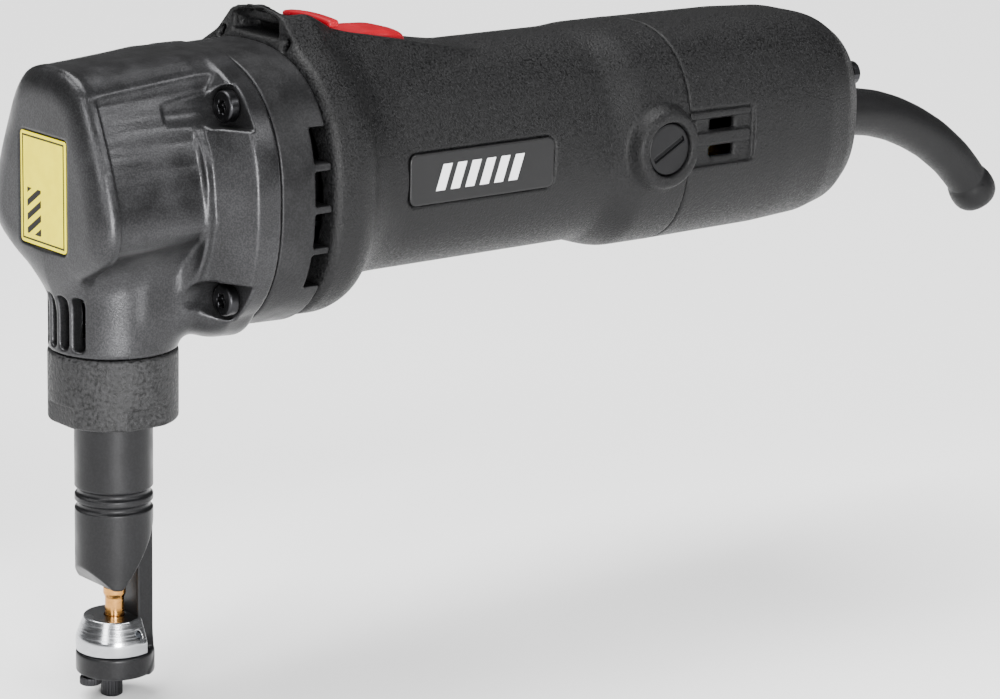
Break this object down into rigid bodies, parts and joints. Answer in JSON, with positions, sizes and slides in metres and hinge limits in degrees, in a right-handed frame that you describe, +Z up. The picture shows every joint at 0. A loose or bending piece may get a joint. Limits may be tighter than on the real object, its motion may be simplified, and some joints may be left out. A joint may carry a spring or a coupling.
{
  "type": "electric nibbler",
  "caption": "Hand-held electric nibbler: round motor body with a slide switch, right-angle gear head, and a tubular die holder with punch and die for cutting sheet metal.",
  "frame": {"origin": "middle of the whole tool's bounding box, between the grip and the die holder", "axes": "+X along the motor axis towards the cord end, +Z up along the punch axis from the die towards the head, +Y across the tool, with the badge on the -Y side"},
  "size_m": [0.337, 0.0758, 0.1754],
  "materials": {
    "head_paint": "satin",
    "plate_paint": "satin",
    "grained_plastic": "grained",
    "grained_nut": "coarse grain",
    "gloss_black": "smooth",
    "sticker": "printed film",
    "red_plastic": "smooth",
    "blackened_steel": "satin",
    "black_screws": "black oxide",
    "polished_steel": "polished",
    "coated_punch": "coated",
    "ground_steel": "ground",
    "gear_steel": "hardened",
    "bronze": "machined",
    "laminations": "stacked sheet",
    "copper": "enamelled",
    "fan_plastic": "moulded",
    "carbon": "pressed",
    "spring_steel": "drawn",
    "cap_plastic": "smooth",
    "capacitor_film": "smooth",
    "guard_rubber": "moulded"
  },
  "bodies": {
    "housing": {"gear_housing": "head_paint", "bearing_plate": "plate_paint", "motor_housing": "grained_plastic", "rear_cover": "grained_plastic", "side_badge": "gloss_black", "switch_body": "gloss_black", "cord_clamp": "gloss_black", "front_sticker": "sticker", "head_screw_1": "black_screws", "head_screw_2": "black_screws", "head_screw_3": "black_screws", "head_screw_4": "black_screws", "cover_screw_left": "black_screws", "cover_screw_right": "black_screws", "crank_bearing": "ground_steel", "front_bearing": "ground_steel", "rear_bearing": "ground_steel", "clamp_screw_left": "ground_steel", "clamp_screw_right": "ground_steel", "guide_bush": "bronze", "crank_bush": "bronze", "brush_holder_left": "bronze", "brush_holder_right": "bronze", "stator_core": "laminations", "field_coil_upper": "copper", "field_coil_lower": "copper", "brush_spring_left": "spring_steel", "brush_spring_right": "spring_steel", "brush_cap_left": "cap_plastic", "brush_cap_right": "cap_plastic", "capacitor": "capacitor_film", "cord_guard": "guard_rubber"},
    "armature": {"armature_shaft": "ground_steel", "armature_core": "laminations", "armature_winding": "copper", "commutator": "copper", "fan": "fan_plastic", "pinion": "gear_steel"},
    "crank": {"crank_shaft": "ground_steel", "crank_roller": "ground_steel", "drive_gear": "gear_steel"},
    "punch_drive": {"plunger": "ground_steel", "punch": "coated_punch"},
    "die_head": {"die_holder": "blackened_steel", "die": "polished_steel", "die_screw_middle": "black_screws", "die_screw_front": "black_screws"},
    "clamp_nut": {"lock_nut": "grained_nut"},
    "switch": {"switch_slider": "red_plastic", "switch_rod": "gloss_black"},
    "brush_carbon_left": {"brush_left": "carbon"},
    "brush_carbon_right": {"brush_right": "carbon"}
  },
  "joints": [
    {"name": "armature_spin", "type": "hinge", "parent": "housing", "child": "armature", "pos_m": [-0.04827, 0, 0.0429], "axis": [1, 0, 0], "continuous": true},
    {"name": "crank_spin", "type": "hinge", "parent": "housing", "child": "crank", "pos_m": [-0.12828, 0, 0.0264], "axis": [1, 0, 0], "continuous": true},
    {"name": "punch_slide", "type": "slide", "parent": "housing", "child": "punch_drive", "axis": [0, 0, 1], "range_m": [0, 0.005]},
    {"name": "die_swivel", "type": "hinge", "parent": "housing", "child": "die_head", "pos_m": [-0.14827, 0, -0.0171], "axis": [0, 0, 1], "continuous": true},
    {"name": "nut_turn", "type": "hinge", "parent": "housing", "child": "clamp_nut", "pos_m": [-0.14827, 0, -0.0051], "axis": [0, 0, 1], "range_deg": [0, 180]},
    {"name": "switch_slide", "type": "slide", "parent": "housing", "child": "switch", "axis": [1, 0, 0], "range_m": [0, 0.007]},
    {"name": "brush_lift_left", "type": "slide", "parent": "housing", "child": "brush_carbon_left", "axis": [0, -1, 0], "range_m": [0, 0.004], "stiffness_N_per_m": 300, "springref_m": -0.004, "deforming": ["brush_spring_left"]},
    {"name": "brush_lift_right", "type": "slide", "parent": "housing", "child": "brush_carbon_right", "axis": [0, 1, 0], "range_m": [0, 0.004], "stiffness_N_per_m": 300, "springref_m": -0.004, "deforming": ["brush_spring_right"]}
  ],
  "couplings": [
    {"joint": "crank_spin", "follows": "armature_spin", "ratio": -0.22222}
  ]
}
